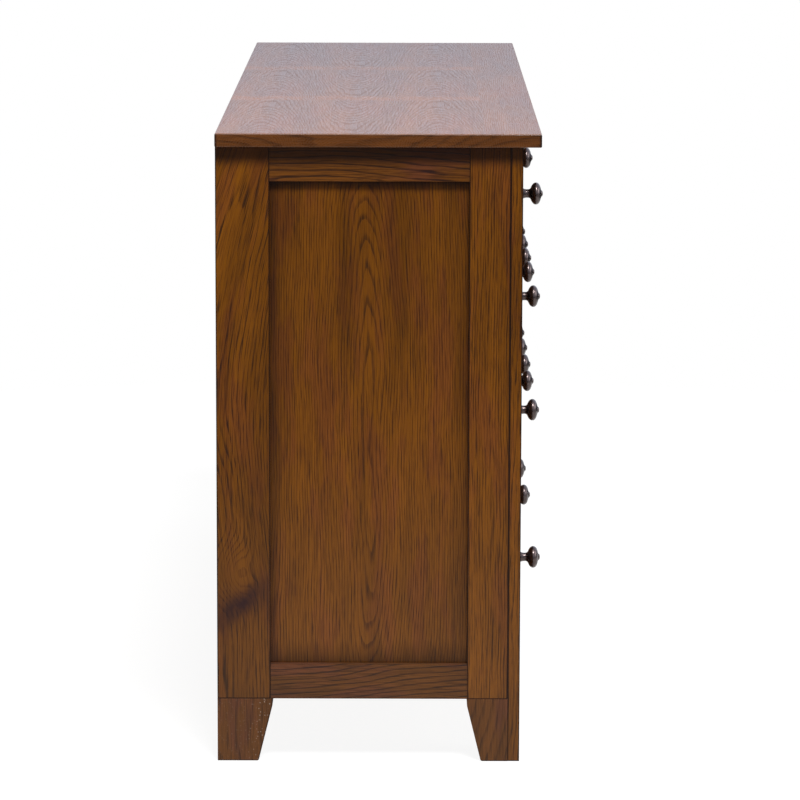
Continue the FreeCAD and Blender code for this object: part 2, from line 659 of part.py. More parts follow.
def make_drawers():
    """Twelve drawers: two wide ones in rows one and four, four in rows two and three."""
    knob = make_knob()
    left_of_middle = "-Places.centre_half"
    wide = (("left", "-Places.stile_inner", "wide"), ("right", "Places.centre_half", "wide"))
    split = (("outer_left", "-Places.stile_inner", "outer"),
             ("inner_left", f"{left_of_middle} - Sizes.inner_opening", "inner"),
             ("inner_right", "Places.centre_half", "inner"),
             ("outer_right", "Places.outer_x", "outer"))
    kinds = {"wide": ("Places.wide_opening", "Sizes.wide_knobs"),
             "inner": ("Sizes.inner_opening", "Sizes.inner_knobs"),
             "outer": ("Places.outer_opening", None)}
    rows = (("one", "Sizes.row_one", wide), ("two", "Sizes.row_two", split),
            ("three", "Sizes.row_three", split), ("four", "Places.row_four", wide))
    for number, (row, row_height, drawers) in enumerate(rows, start=1):
        masters = {}
        for place, x, kind in drawers:
            if kind not in masters:
                opening, spacing = kinds[kind]
                masters[kind] = make_drawer(f"{row}_{kind}", opening, row_height, spacing, knob)
            for part, master in masters[kind].items():
                name = f"row{number}_{place}_{part}"
                link = copy_at(f"{name}_link", master, x, "Places.face_y", f"Places.level_{row}")
                node(group(name, [link]), name)


def check():
    """Stops if an object of the document failed or a piece has no sound shape."""
    for item in doc.Objects:
        if "Invalid" in item.State or "Error" in item.State:
            raise RuntimeError(f"{item.Name} failed: {item.State}")
    for piece in nodes:
        if piece.Shape.isNull() or not piece.Shape.isValid() or not piece.Shape.Solids:
            raise RuntimeError(f"{piece.Label} has no sound shape")
    if len({piece.Label for piece in nodes}) != len(nodes):
        raise RuntimeError("two pieces share a name")


make_top()
make_posts()
make_ends()
make_feet()
make_front_frame()
make_back()
make_webs()
make_drawers()
doc.recompute()
check()
os.makedirs("parts", exist_ok=True)
for piece in nodes:
    piece.Shape.exportStep(f"parts/{piece.Label}.step")
print(f"{len(nodes)} pieces written")
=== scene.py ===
import math

import bmesh
import bpy
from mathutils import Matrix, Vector


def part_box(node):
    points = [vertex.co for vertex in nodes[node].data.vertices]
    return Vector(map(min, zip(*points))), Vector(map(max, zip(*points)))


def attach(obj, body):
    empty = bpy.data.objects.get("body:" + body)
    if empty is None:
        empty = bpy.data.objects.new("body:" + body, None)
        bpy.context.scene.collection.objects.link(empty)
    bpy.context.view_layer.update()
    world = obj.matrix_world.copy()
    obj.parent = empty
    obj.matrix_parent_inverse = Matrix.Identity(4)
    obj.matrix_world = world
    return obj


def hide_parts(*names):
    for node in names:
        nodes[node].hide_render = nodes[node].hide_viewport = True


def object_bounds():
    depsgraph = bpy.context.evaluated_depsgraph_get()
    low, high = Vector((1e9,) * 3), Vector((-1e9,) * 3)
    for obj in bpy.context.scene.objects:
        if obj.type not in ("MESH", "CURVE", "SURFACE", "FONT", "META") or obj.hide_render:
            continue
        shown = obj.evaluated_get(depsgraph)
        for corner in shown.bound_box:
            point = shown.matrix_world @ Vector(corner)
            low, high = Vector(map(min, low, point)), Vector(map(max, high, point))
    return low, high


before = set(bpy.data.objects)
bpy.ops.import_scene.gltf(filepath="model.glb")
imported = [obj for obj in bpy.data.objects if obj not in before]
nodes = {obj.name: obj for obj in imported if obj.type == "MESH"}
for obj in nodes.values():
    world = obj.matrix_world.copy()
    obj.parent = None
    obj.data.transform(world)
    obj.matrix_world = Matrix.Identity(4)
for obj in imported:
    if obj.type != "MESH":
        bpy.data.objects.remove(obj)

# The looks of a long chest of drawers in aged oak, seen along its length from its left end.
# Metres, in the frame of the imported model: +Z up, +X along the length, the drawers face -Y.

scene = bpy.context.scene
cad_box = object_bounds()
AXES = "XYZ"

# Camera
LENS = 183.5
SENSOR = 36.0
CAMERA_PLACE = (-6.478, -0.035, 1.472)
CAMERA_YAW = math.radians(0.081)
CAMERA_PITCH = math.radians(9.478)
CAMERA_ROLL = math.radians(0.143)


def make_camera():
    """A long lens that looks along +X and a little down on the left end."""
    camera = bpy.data.objects.new("camera", bpy.data.cameras.new("camera"))
    scene.collection.objects.link(camera)
    camera.data.lens = LENS
    camera.data.sensor_width = SENSOR
    forward = Vector((math.cos(CAMERA_YAW) * math.cos(CAMERA_PITCH),
                      math.sin(CAMERA_YAW) * math.cos(CAMERA_PITCH), -math.sin(CAMERA_PITCH)))
    turn = forward.to_track_quat("-Z", "Y")
    camera.rotation_euler = turn.to_euler()
    camera.rotation_euler.rotate_axis("Z", CAMERA_ROLL)
    camera.location = CAMERA_PLACE
    scene.camera = camera


class Tree:
    """The nodes of a material or the world, with a short call for each kind that is used here."""

    def __init__(self, owner):
        self.owner = owner
        owner.use_nodes = True
        self.tree = owner.node_tree
        self.tree.nodes.clear()

    def node(self, kind, inputs=(), **settings):
        made = self.tree.nodes.new(f"ShaderNode{kind}")
        for key, setting in settings.items():
            setattr(made, key, setting)
        for key, given in dict(inputs).items():
            self.feed(made.inputs[key], given)
        return made

    def feed(self, socket, given):
        if isinstance(given, bpy.types.NodeSocket):
            self.tree.links.new(given, socket)
        else:
            socket.default_value = given

    def math(self, operation, *given, clamp=False):
        made = self.node("Math", dict(enumerate(given)), operation=operation, use_clamp=clamp)
        return made.outputs[0]

    def plus(self, first, *others):
        for other in others:
            first = self.math("ADD", first, other)
        return first

    def times(self, first, *others):
        for other in others:
            first = self.math("MULTIPLY", first, other)
        return first

    def minus(self, given, less):
        return self.math("SUBTRACT", given, less)

    def off(self, given, middle):
        """How far a value is from a middle."""
        return self.math("ABSOLUTE", self.minus(given, middle))

    def above(self, given, limit):
        """1 where a value is above a limit."""
        return self.math("GREATER_THAN", given, limit)

    def below(self, given, limit):
        """1 where a value is below a limit."""
        return self.math("LESS_THAN", given, limit)

    def least(self, first, second):
        return self.math("MINIMUM", first, second)

    def most(self, first, second):
        return self.math("MAXIMUM", first, second)

    def join(self, *given):
        return self.node("CombineXYZ", dict(enumerate(given))).outputs[0]

    def split(self, given):
        return self.node("SeparateXYZ", {0: given}).outputs[:3]

    def place(self, space="Object"):
        """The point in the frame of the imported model, as three values."""
        return self.split(self.node("TexCoord").outputs[space])

    def scaled(self, parts, scales):
        """A vector of three parts, each times its scale."""
        return self.join(*[self.times(part, scale) for part, scale in zip(parts, scales)])

    def noise(self, vector, detail=2.0, roughness=0.5):
        made = self.node("TexNoise", {"Vector": vector, "Scale": 1.0, "Detail": detail,
                                      "Roughness": roughness})
        return made.outputs["Fac"]

    def fade(self, given, low, high, to=(0.0, 1.0)):
        """A smooth step of a value between two places."""
        made = self.node("MapRange", {"Value": given, "From Min": low, "From Max": high,
                                      "To Min": to[0], "To Max": to[1]},
                         interpolation_type="SMOOTHSTEP")
        return made.outputs["Result"]

    def blend(self, factor, a, b, kind="MIX"):
        """Two colours mixed, by the sockets that the node has for a factor and for colours."""
        made = self.node("Mix", data_type="RGBA", blend_type=kind)
        for place, given in zip((0, 6, 7), (factor, a, b)):
            self.feed(made.inputs[place], given if not isinstance(given, tuple) else (*given, 1))
        return made.outputs[2]

    def shaded(self, colour, share):
        """A colour made lighter or darker by a share that varies."""
        return self.blend(1.0, colour, self.join(share, share, share), "MULTIPLY")

    def ramp(self, given, *stops):
        made = self.node("ValToRGB", {"Fac": given})
        elements = made.color_ramp.elements
        while len(elements) < len(stops):
            elements.new(0.5)
        for element, (place, colour) in zip(elements, stops):
            element.position = place
            element.color = (*colour, 1)
        return made.outputs["Color"]

    def bump(self, height, distance, strength):
        made = self.node("Bump", {"Height": height, "Distance": distance, "Strength": strength})
        return made.outputs[0]

    def mix_shader(self, factor, first, second):
        return self.node("MixShader", {0: factor, 1: first.outputs[0], 2: second.outputs[0]})

    def surface(self, shader, kind="Material"):
        output = self.node(f"Output{kind}")
        self.tree.links.new(shader.outputs[0], output.inputs["Surface"])
        return self.owner

    def finish(self, colour, roughness, normal, **constants):
        """Closes a material with a shader whose other settings are constants."""
        shader = self.node("BsdfPrincipled", {"Base Color": colour, "Roughness": roughness,
                                              "Normal": normal})
        for name, constant in constants.items():
            shader.inputs[name.replace("_", " ")].default_value = constant
        return self.surface(shader)


# Light
AIM = Vector((-0.4, 0.0, 0.45))
KEY_ELEVATION = math.radians(59)
KEY_ASIDE = -0.12
KEY_DISTANCE = 7.0
KEY_SIZE = 1.9
KEY_WATTS = 500
FILL_PLACE = (-0.6, -5.2, 2.3)
FILL_SIZE = 3.0
FILL_WATTS = 80
WHITE = (1, 1, 1, 1)
SKY = 0.22
GLOSS_SKY = (0.86, 0.91, 1.08)
HORIZON = (-0.02, 0.05)


def make_lamp(name, place, size, watts):
    """A round soft lamp at a place, turned towards the chest."""
    lamp = bpy.data.lights.new(name, "AREA")
    lamp.shape = "DISK"
    lamp.size = size
    lamp.energy = watts
    stand = bpy.data.objects.new(name, lamp)
    scene.collection.objects.link(stand)
    stand.location = place
    stand.rotation_euler = (AIM - place).to_track_quat("-Z", "Y").to_euler()


def make_light():
    """A soft key lamp over the left end and a weak one in front."""
    back = Vector((-math.cos(KEY_ELEVATION), KEY_ASIDE, math.sin(KEY_ELEVATION))).normalized()
    make_lamp("key", AIM + back * KEY_DISTANCE, KEY_SIZE, KEY_WATTS)
    make_lamp("fill", Vector(FILL_PLACE), FILL_SIZE, FILL_WATTS)


def make_sky():
    """A plain pale sky: white where the camera sees it, and mirrored only above the horizon."""
    scene.world = bpy.data.worlds.new("sky")
    tree = Tree(scene.world)
    up = tree.place("Generated")[2]
    over = tree.node("MapRange", {"Value": up, "From Min": HORIZON[0], "From Max": HORIZON[1]})
    sky = tree.node("Background", {"Color": WHITE, "Strength": SKY})
    gloss = tree.node("Background", {"Color": (*GLOSS_SKY, 1),
                                     "Strength": over.outputs["Result"]})
    seen = tree.node("Background", {"Color": WHITE})
    path = tree.node("LightPath").outputs
    shiny = tree.most(path["Is Glossy Ray"], path["Is Transmission Ray"])
    lit = tree.mix_shader(shiny, sky, gloss)
    tree.surface(tree.mix_shader(path["Is Camera Ray"], lit, seen), "World")


# Floor
FLOOR_RADIUS = 2.6
FLOOR_SIDES = 96
FLOOR_DROP = 0.0004
FLOOR_MATT = 0.84
FLOOR_SHADED = 0.16
FLOOR_GLOW = 0.91


def make_floor():
    """A round pale floor that shows white and keeps a faint shadow."""
    mesh = bpy.data.meshes.new("floor")
    work = bmesh.new()
    bmesh.ops.create_circle(work, cap_ends=True, segments=FLOOR_SIDES, radius=FLOOR_RADIUS)
    work.to_mesh(mesh)
    work.free()
    floor = bpy.data.objects.new("floor", mesh)
    floor.location.z = -FLOOR_DROP
    scene.collection.objects.link(floor)
    tree = Tree(bpy.data.materials.new("floor"))
    matt, faint = (tree.node("BsdfDiffuse", {"Color": (grey, grey, grey, 1)})
                   for grey in (FLOOR_MATT, FLOOR_SHADED))
    glow = tree.node("Emission", {"Color": WHITE, "Strength": FLOOR_GLOW})
    shown = tree.node("AddShader", {0: faint.outputs[0], 1: glow.outputs[0]})
    seen = tree.node("LightPath").outputs["Is Camera Ray"]
    mesh.materials.append(tree.surface(tree.mix_shader(seen, matt, shown)))


# Colours of the oak: between the pores, the wood on the whole, and its pores
OAK = ((0.158, 0.052, 0.0028), (0.116, 0.0365, 0.0020), (0.028, 0.0095, 0.0013))
OAK_RED = ((0.140, 0.047, 0.0070), (0.096, 0.0320, 0.0045), (0.023, 0.0082, 0.0025))
OAK_TOP = ((0.180, 0.063, 0.0140), (0.149, 0.051, 0.0100), (0.090, 0.031, 0.0065))
OAK_BAND = ((0.130, 0.042, 0.0080), (0.088, 0.028, 0.0050), (0.022, 0.008, 0.0025))
PALE = ((0.60, 0.44, 0.27), (0.50, 0.35, 0.20), (0.34, 0.22, 0.12))
INNER = ((0.42, 0.29, 0.17), (0.33, 0.22, 0.12), (0.20, 0.12, 0.065))
TONE_PLACES = (0.0, 0.38, 1.0)
# Tints of the patches in it, and other colours on it
RUDDY = (0.94, 0.83, 2.6)
RUDDY_TOP = (0.96, 0.88, 1.15)
HONEY = (0.95, 0.88, 0.76)
# Dark lines at seams and edges; round the panels also their glaze and painted shade
SEAM_AND_SHADE = (0.010, 0.0035, 0.0020)
# Dust, and a painted reflection of the pale floor, on the low parts
DUST_AND_SHEEN = (0.20, 0.125, 0.085)
# Painted shade under the top's overhang, with darkened polish and dust
SHADE_AND_GRIME = (0.016, 0.006, 0.003)
SCUFF = (0.47, 0.38, 0.31)
LIGHT_STAIN = (0.250, 0.080, 0.012)
KNOT_DARK = (0.026, 0.0105, 0.0110)
STAPLE = (0.42, 0.41, 0.38)
PIN_END = (0.20, 0.12, 0.06)
PIN_LINE = (0.06, 0.035, 0.02)

# Growth rings and pores: scales of the noises across and along the grain, and their reach
SEED_STEPS = (0.37, 0.53, 1.91)
SWAY, SWAY_REACH = (6.0, 2.6), 0.034
DRIFT, DRIFT_REACH = (2.0, 1.7), 0.060
WOBBLE, WOBBLE_REACH = (70.0, 7.0), 1.2
DASHES, DASH_RANGE, DASH_SHARE = (720.0, 18.0), (0.43, 0.62), 0.26
HAIRS, HAIR_RANGE, HAIR_SHARE = (900.0, 30.0), (0.46, 0.66), 0.46
BROAD = (24.0, 2.4)
RING = 0.0037
EARLY_START = 0.04
LATE_END = 0.92
PORE_SHARE = 0.68
STRAIGHT = (0.02, 0.0, 0.0)
SLANTING = (0.03, 0.0, 0.0)
KNOT_RINGS = 6.0
KNOT_CALM = (0.10, 0.90, (1.0, 0.55))

# Tone of a board and painted light and shade by height: value, value and what it becomes at each
PATCH_SCALES = (26, 26, 6)
PATCHES = (0.46, 0.62, (0.0, 0.70))
BROAD_SHADE = (0.32, 0.68, (0.80, 1.20))
LIFT_HEIGHTS = (0.05, 0.80)
NEAR_FLOOR = (0.06, 0.12, (0.80, 1.0))
BRIGHT_HEIGHT = 0.43
# Painted light: brighter around the middle height
NEAR_BRIGHT = (0.0, 0.24, (1.11, 1.0))
DUST_AND_SHEEN_SHARE = (0.0, 0.55, (0.10, 0.0))
EDGE_LINE = (0.0006, 0.0022, (0.95, 0.0))
DARK_ROUGHNESS = 0.14
BROAD_ROUGHNESS = 0.06
PORE_DEPTH = 0.0004
PORE_CUT = -0.6
HAIR_CUT = -0.4


def centre_of(low, high):
    """The middle of a box."""
    return [(a + b) / 2 for a, b in zip(low, high)]


def local(tree, axes, centre, fold=None):
    """Across, depth and along the grain from the middle of the member, each in metres."""
    here = dict(zip(AXES, tree.place()))
    if fold:
        here = fold(tree, here)
    middle = dict(zip(AXES, centre))
    return [tree.minus(here[axis], middle[axis]) for axis in axes]


def figure(tree, across, depth, along, seed, pith, bow, knot=None, ring_width=RING, broken=0.65,
           early_share=0.40):
    """Growth rings and pores of a board: how dark each point is, from 0 to 1, its pores, its
    fine pores and its broad streaks. The pith is a place across and in depth, and bow the slope
    and curve of the tree against the board, and the place along it where the curve is flat."""
    shifted = [tree.plus(part, seed * step)
               for part, step in zip((across, depth, along), SEED_STEPS)]

    def streaks(scale, detail=2.0, roughness=0.5):
        fine, long = scale
        return tree.noise(tree.scaled(shifted, (fine, fine, long)), detail, roughness)

    sway = tree.minus(streaks(SWAY, 3.0), 0.5)
    drift = tree.minus(streaks(DRIFT), 0.5)
    side = tree.plus(tree.minus(across, pith[0]), tree.times(sway, SWAY_REACH))
    slope, curve, middle = bow
    run = tree.minus(along, middle)
    rise = tree.plus(tree.times(run, slope), tree.times(run, run, curve))
    behind = tree.plus(tree.plus(depth, pith[1]),
                       tree.plus(rise, tree.times(drift, DRIFT_REACH)))
    radius = tree.math("SQRT", tree.plus(tree.times(side, side), tree.times(behind, behind)))
    phase = tree.plus(tree.math("DIVIDE", radius, ring_width),
                      tree.times(streaks(WOBBLE), WOBBLE_REACH))
    if knot:
        near = knot(tree)
        phase = tree.plus(phase, tree.times(near, KNOT_RINGS))
    ring = tree.math("FRACT", phase)
    early = tree.most(tree.fade(ring, EARLY_START, early_share, (1.0, 0.0)),
                      tree.fade(ring, LATE_END, 1.0))
    dashes = tree.fade(streaks(DASHES, 3.0, 0.65), *DASH_RANGE)
    hairs = tree.fade(streaks(HAIRS, 3.0, 0.6), *HAIR_RANGE)
    pores = tree.times(early, tree.plus(1.0 - broken, tree.times(dashes, broken)))
    dark = tree.math("ADD", tree.times(pores, PORE_SHARE), tree.times(hairs, HAIR_SHARE),
                     clamp=True)
    dark = tree.math("ADD", dark, tree.times(dashes, DASH_SHARE), clamp=True)
    if knot:
        dark = tree.times(dark, tree.fade(near, *KNOT_CALM))
    return dark, pores, hairs, streaks(BROAD, 4.0, 0.65)


def edge_distance(tree, low, high):
    """How far a point of a box's surface is from the box's nearest edge."""
    gaps = [tree.minus((most - least) / 2, tree.off(part, (least + most) / 2))
            for part, least, most in zip(tree.place(), low, high)]
    smaller = tree.least(gaps[0], gaps[1])
    larger = tree.most(gaps[0], gaps[1])
    return tree.most(smaller, tree.least(larger, gaps[2]))


def wood(name, axes, seed, box=None, tones=OAK, tint=RUDDY, gloss=0.28, index=1.24, fold=None,
         extra=(), edges=True, lift=(1.0, 1.0), relief=0.35, contrast=1.12, **grain):
    """Gives a CAD node stained, waxed oak with the grain along the last of the three axes."""
    tree = Tree(bpy.data.materials.new(f"wood_{name}"))
    low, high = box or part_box(name)
    across, depth, along = local(tree, axes, centre_of(low, high), fold)
    dark, pores, hairs, broad = figure(tree, across, depth, along, seed, **grain)
    colour = tree.ramp(tree.times(dark, contrast), *zip(TONE_PLACES, tones))
    patchy = tree.noise(tree.scaled((across, depth, along), PATCH_SCALES), 3.0, 0.6)
    colour = tree.blend(tree.fade(patchy, *PATCHES), colour, tint, "MULTIPLY")
    height = tree.place()[2]
    # Broad streaks of the wood's own tone; by height, the lift (each board's tone and painted
    # light
    # and shade), darker near the floor, and painted light around the middle height
    colour = tree.shaded(colour, tree.times(
        tree.fade(broad, *BROAD_SHADE), tree.fade(height, *LIFT_HEIGHTS, lift),
        tree.fade(height, *NEAR_FLOOR),
        tree.fade(tree.off(height, BRIGHT_HEIGHT), *NEAR_BRIGHT)))
    # Dust, and a painted reflection of the pale floor, fading out upwards
    colour = tree.blend(tree.fade(height, *DUST_AND_SHEEN_SHARE), colour, DUST_AND_SHEEN)
    if edges:
        line = tree.fade(edge_distance(tree, low, high), *EDGE_LINE)
        colour = tree.blend(line, colour, SEAM_AND_SHADE)
    for change in extra:
        colour = change(tree, colour)
    roughness = tree.plus(gloss, tree.times(dark, DARK_ROUGHNESS),
                          tree.times(broad, BROAD_ROUGHNESS))
    groove = tree.plus(tree.times(pores, PORE_CUT), tree.times(hairs, HAIR_CUT))
    nodes[name].material_slots[0].material = tree.finish(
        colour, roughness, tree.bump(groove, PORE_DEPTH, relief), IOR=index)


# The top
LEAF_COUNT = 3
TURNED_LEAF = 1
SECTION_COUNT = 3
POLISHED = {"tones": OAK_TOP, "tint": RUDDY_TOP, "gloss": 0.22, "index": 1.38, "relief": 0.003,
            "contrast": 0.45, "broken": 0.3, "edges": False}
STAIN_BAND = (0.018, 0.046, (0.85, 0.0))
STAIN_SCALES = (30, 8, 1)
STAIN_PATCHES = (0.36, 0.60, (0.30, 1.0))
# Painted light on the top: its share at the left end and at the right end
TOP_PAINTED_LIGHT = (1.22, 0.80)
END_BAND_THICK = 0.0006
END_BAND_CONTRAST = 0.7
END_BAND_SHADE = (0.32, 0.68, (0.8, 1.15))
END_BAND_RIM = (0.0012, 0.0045, (0.8, 0.0))


def make_top():
    """The top's field and front border, with the band that closes their ends."""
    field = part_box("top_field")
    slab = (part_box("top_front_border")[0], field[1])
    section = (cad_box[1][0] - cad_box[0][0]) / SECTION_COUNT
    leaf = (field[1][1] - field[0][1]) / LEAF_COUNT

    def leaves(tree, here):
        """Three veneer leaves across the top, the middle one turned round, in three sections."""
        along = tree.math("FLOORED_MODULO", tree.minus(here["X"], field[0][0]), section)
        row = tree.minus(here["Y"], field[0][1])
        number = tree.math("FLOOR", tree.math("DIVIDE", row, leaf))
        turned = tree.math("COMPARE", number, TURNED_LEAF, 0.1)
        back = tree.minus(section, tree.times(along, 2))
        return {**here, "X": tree.plus(along, tree.times(turned, back)),
                "Y": tree.math("FLOORED_MODULO", row, leaf)}

    def seams(tree, colour):
        """Patchy bands of lighter stain where two sections of the field meet."""
        x, y, z = tree.place()
        run = tree.math("FLOORED_MODULO", tree.minus(x, field[0][0] - section / 2), section)
        patches = tree.noise(tree.scaled((y, x, z), STAIN_SCALES))
        band = tree.times(tree.fade(tree.off(run, section / 2), *STAIN_BAND),
                          tree.fade(patches, *STAIN_PATCHES),
                          tree.below(tree.off(x, 0.0), section))
        return tree.blend(band, colour, LIGHT_STAIN)

    def painted_light_on_top(tree, colour):
        """Painted light on the top, lighter and redder towards its left end."""
        x = tree.place()[0]
        return tree.shaded(colour, tree.fade(x, field[0][0], field[1][0], TOP_PAINTED_LIGHT))

    def end_band(tree, colour):
        """The thin band that closes the top's two ends, with its grain from front to back."""
        x, y, _ = tree.place()
        point = local(tree, "ZXY", centre_of(*slab))
        dark, _, _, broad = figure(tree, *point, seed=91.0, pith=(0.12, 0.02), bow=STRAIGHT,
                                   ring_width=0.0026, broken=0.4)
        band = tree.ramp(tree.times(dark, END_BAND_CONTRAST), *zip(TONE_PLACES, OAK_BAND))
        band = tree.shaded(band, tree.fade(broad, *END_BAND_SHADE))
        nearest = tree.least(tree.minus(y, slab[0][1]), tree.minus(slab[1][1], y))
        band = tree.blend(tree.fade(nearest, *END_BAND_RIM), band, SEAM_AND_SHADE)
        at_end = tree.above(tree.off(x, 0.0), cad_box[1][0] - END_BAND_THICK)
        return tree.blend(at_end, colour, band)

    wood("top_field", "YZX", 3.0, box=((0, 0, field[0][2]), (section, leaf, field[1][2])),
         pith=(0.0, 0.012), bow=(0.11, 0.0, -0.22), ring_width=0.0033, fold=leaves,
         extra=(seams, painted_light_on_top, end_band), **POLISHED)
    wood("top_front_border", "YZX", 5.0, pith=(-0.09, 0.03), bow=(0.06, 0.0, 0.0),
         ring_width=0.0030, extra=(painted_light_on_top, end_band), **POLISHED)


# Wear and stains of the case, and painted shade under the top and round the panels
# How far below the top the painted shade and grime start, and where they are full
UNDER_TOP = (0.030, 0.008)
UNDER_TOP_SHARE = (0.0, 0.72)
UNDER_TOP_SCALES, UNDER_TOP_WANDER = (26, 26, 1), 0.010
SPECK_SCALE = 160
SPECK_DOT = (0.12, 0.30, (0.8, 0.0))
PANEL_SPECK_RARITY = 0.995
GLAZE_AND_SHADE_START = -0.008
GLAZE_AND_SHADE_SCALES, GLAZE_AND_SHADE_WANDER = (30, 9, 1), -0.014
# Axis and end of the opening, and how dark and how wide the glaze and painted shade are there
GLAZE_AND_SHADE_EDGES = ((1, 0, 0.20, 0.011), (1, 1, 0.54, 0.011), (2, 0, 0.50, 0.032), (2, 1, 0.84, 0.011))
# Middle along Y and Z, half width, half height and lean of a spot on the left back post
KNOT = (0.206, 0.272, 0.027, 0.042, 0.0)
KNOT_STAIN = (0.200, 0.228, 0.027, 0.035, 1.0)
KNOT_SCALES = (45, 45, 45)
KNOT_PATCHES = (0.30, 0.60, (0.65, 1.0))
# Bow of the back posts' grain: the height up to which it is straight, where it turns, its curve
LEAN_START = 0.26
LEAN_MIDDLE = 0.46
LEAN_CURVE = 0.40
# Back feet: height where their taper starts, how far it goes, and how far they pass their post
TAPER_TOP = 0.081
TAPER = 0.020
FOOT_PROUD = 0.0025
FOOT_LINE = (0.0006, 0.0020)
# Scuffs of the back feet, from their post's front edge backwards
WORN_START = -0.012
WORN_WIDTH = 0.052
WORN_SHARE = (0.95, 0.08)
FOOT_SPECK_RARITY = 0.42
FOOT_SPECK_SCALE = 255


def shade_and_grime_under_top(tree, colour):
    """The wood right under the top: painted shade, and polish and dust that have darkened it."""
    x, y, z = tree.place()
    uneven = tree.noise(tree.scaled((y, x, z), UNDER_TOP_SCALES), 3.0)
    level = tree.plus(z, tree.times(uneven, UNDER_TOP_WANDER))
    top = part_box("top_field")[0][2]
    start, full = (top - below for below in UNDER_TOP)
    return tree.blend(tree.fade(level, start, full, UNDER_TOP_SHARE), colour, SHADE_AND_GRIME)


def specks(tree, colour, rarity, where=1.0, scale=SPECK_SCALE):
    """Tiny pale scuffs, where the stain has gone through to the wood."""
    points = tree.scaled(tree.place(), (scale, scale, scale))
    cells = tree.node("TexVoronoi", {"Vector": points, "Scale": 1.0})
    chance = tree.split(cells.outputs["Color"])[0]
    dot = tree.fade(cells.outputs["Distance"], *SPECK_DOT)
    return tree.blend(tree.times(dot, tree.above(chance, rarity), where), colour, SCUFF)


def round_glaze_and_shade(tree, colour, opening):
    """Darkens a panel towards its opening's edges, unevenly: hand-wiped glaze and painted shade.
    """
    here = tree.place()
    x, y, z = here
    uneven = tree.noise(tree.scaled((y, z, x), GLAZE_AND_SHADE_SCALES), 3.0)
    for axis, end, strength, width in GLAZE_AND_SHADE_EDGES:
        inwards = 1 - 2 * end
        away = tree.times(tree.minus(here[axis], opening[end][axis]), inwards)
        reached = tree.plus(away, tree.times(uneven, GLAZE_AND_SHADE_WANDER))
        colour = tree.blend(tree.fade(reached, GLAZE_AND_SHADE_START, width, (strength, 0.0)), colour, SEAM_AND_SHADE)
    return specks(tree, colour, PANEL_SPECK_RARITY)


def spot(tree, middle_y, middle_z, wide, high, lean):
    """How near a point of the post is to a spot on it, from 0 to 1."""
    _, y, z = tree.place()
    up = tree.minus(z, middle_z)
    side = tree.plus(tree.minus(y, middle_y), tree.times(up, lean))
    across = tree.math("DIVIDE", side, wide)
    up = tree.math("DIVIDE", up, high)
    away = tree.plus(tree.times(across, across), tree.times(up, up))
    return tree.math("EXPONENT", tree.times(away, -1.0))


def knot(tree):
    """Pushes the rings of the back post round a swirl over its dark knot."""
    return spot(tree, *KNOT)


def knot_stain(tree, colour):
    """The dark knot itself, with an uneven edge."""
    uneven = tree.noise(tree.scaled(tree.place(), KNOT_SCALES), 3.0)
    dark = tree.times(spot(tree, *KNOT_STAIN), tree.fade(uneven, *KNOT_PATCHES))
    return tree.blend(dark, colour, KNOT_DARK)


def leaning(tree, here):
    """Grain of the back posts, bowed towards the back at half their height."""
    up = tree.minus(tree.most(here["Z"], LEAN_START), LEAN_MIDDLE)
    return {**here, "Y": tree.plus(here["Y"], tree.times(up, up, LEAN_CURVE))}


def foot_wear(tree, colour):
    """Scuffs of the back feet, and the dark lines along their slanting and lower edges."""
    _, y, z = tree.place()
    post_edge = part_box("back_post_left")[0][1]
    slant = tree.times(tree.most(tree.minus(TAPER_TOP, z), 0.0), TAPER / TAPER_TOP)
    gap = tree.minus(tree.minus(y, slant), post_edge - FOOT_PROUD)
    at_back = tree.above(y, 0.0)
    line = tree.most(tree.times(at_back, tree.fade(gap, *FOOT_LINE, (0.85, 0.0))),
                     tree.fade(z, *FOOT_LINE, (0.7, 0.0)))
    colour = tree.blend(line, colour, SEAM_AND_SHADE)
    inner = post_edge + WORN_START
    worn = tree.times(at_back, tree.fade(y, inner, inner + WORN_WIDTH, WORN_SHARE))
    return specks(tree, colour, FOOT_SPECK_RARITY, worn, FOOT_SPECK_SCALE)


# Both ends of the case
SIDE_TOP_RAIL = 0.049
SIDE_BOTTOM_RAIL = 0.051


